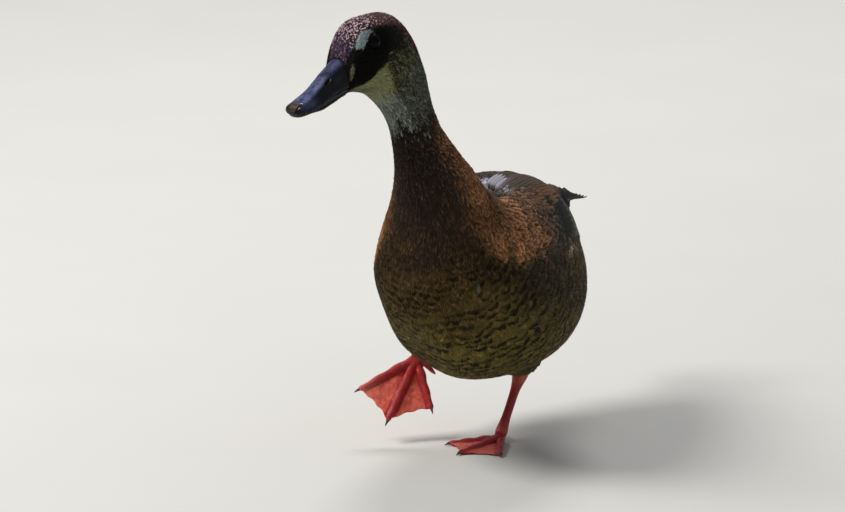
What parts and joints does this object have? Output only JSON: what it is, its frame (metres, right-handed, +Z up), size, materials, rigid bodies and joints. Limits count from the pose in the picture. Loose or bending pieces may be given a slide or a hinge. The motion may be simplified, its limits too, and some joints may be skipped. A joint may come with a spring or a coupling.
{
  "type": "duck",
  "caption": "Life-size still model of a small brown female duck, walking with one webbed foot lifted and its head turned to the side.",
  "frame": {"origin": "middle of the duck's bounding box seen from above, at the floor under its standing foot", "axes": "+Z up, the bill end towards -Y and the tail towards +Y, +X towards the duck's left"},
  "size_m": [0.1176, 0.3104, 0.2485],
  "materials": {
    "plumage": "soft matte contour feathers, olive brown barred with blackish brown",
    "neck_plumage": "soft matte short feathers, greyish to dark brown",
    "head_plumage": "velvety short feathers, blackish brown cap with a faint purplish sheen, pale throat",
    "wing_plumage": "smooth vanes, warm brown with darker middles and pale edges",
    "tail_plumage": "smooth blackish vanes with a slight gloss",
    "bill_horn": "satin slate blue horn",
    "eye": "wet dark brown eye",
    "leg_skin": "satin red scaled skin",
    "claw": "dark horn"
  },
  "bodies": {
    "root": {"bill_lower": "bill_horn", "bill_upper": "bill_horn", "claw_left_inner": "claw", "claw_left_middle": "claw", "claw_left_outer": "claw", "claw_right_inner": "claw", "claw_right_middle": "claw", "claw_right_outer": "claw", "eye_left": "eye", "eye_right": "eye", "foot_left": "leg_skin", "foot_right": "leg_skin", "head": "head_plumage", "leg_left": "leg_skin", "leg_right": "leg_skin", "neck": "neck_plumage", "tail": "tail_plumage", "thigh_left": "plumage", "thigh_right": "plumage", "trunk": "plumage", "wing_left": "wing_plumage", "wing_right": "wing_plumage"}
  },
  "joints": []
}
